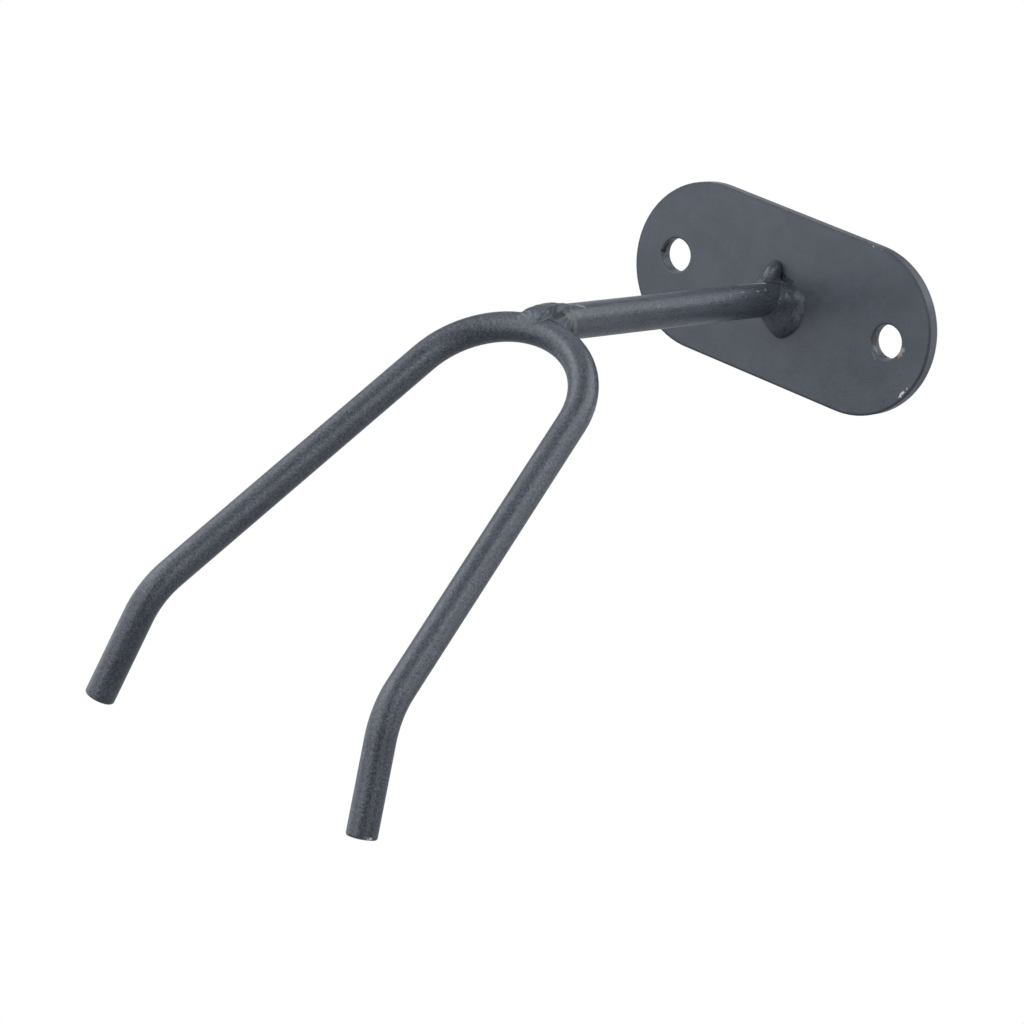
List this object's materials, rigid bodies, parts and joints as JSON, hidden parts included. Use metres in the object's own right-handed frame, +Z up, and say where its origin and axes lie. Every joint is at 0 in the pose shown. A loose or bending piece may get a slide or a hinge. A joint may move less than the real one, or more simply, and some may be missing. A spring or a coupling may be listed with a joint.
{
  "type": "bicycle wall rack",
  "caption": "Welded steel wall hanger: obround plate with screw holes, round stem and a splayed fork with turned-up tips.",
  "frame": {"origin": "centre of the wall plate's back face, where it meets the wall", "axes": "+X along the plate's length, +Y into the wall, +Z up; the stem runs out along -Y and the tines rise towards -Y and +Z"},
  "size_m": [0.126, 0.2593, 0.1692],
  "materials": {
    "plate_coat": "satin powder coat, fine texture",
    "bar_coat": "satin powder coat, fine speckled texture",
    "weld_coat": "satin powder coat over a rippled weld bead"
  },
  "bodies": {
    "root": {"wall_plate": "plate_coat", "stem": "bar_coat", "fork": "bar_coat", "plate_weld": "weld_coat", "fork_weld": "weld_coat"}
  },
  "joints": []
}
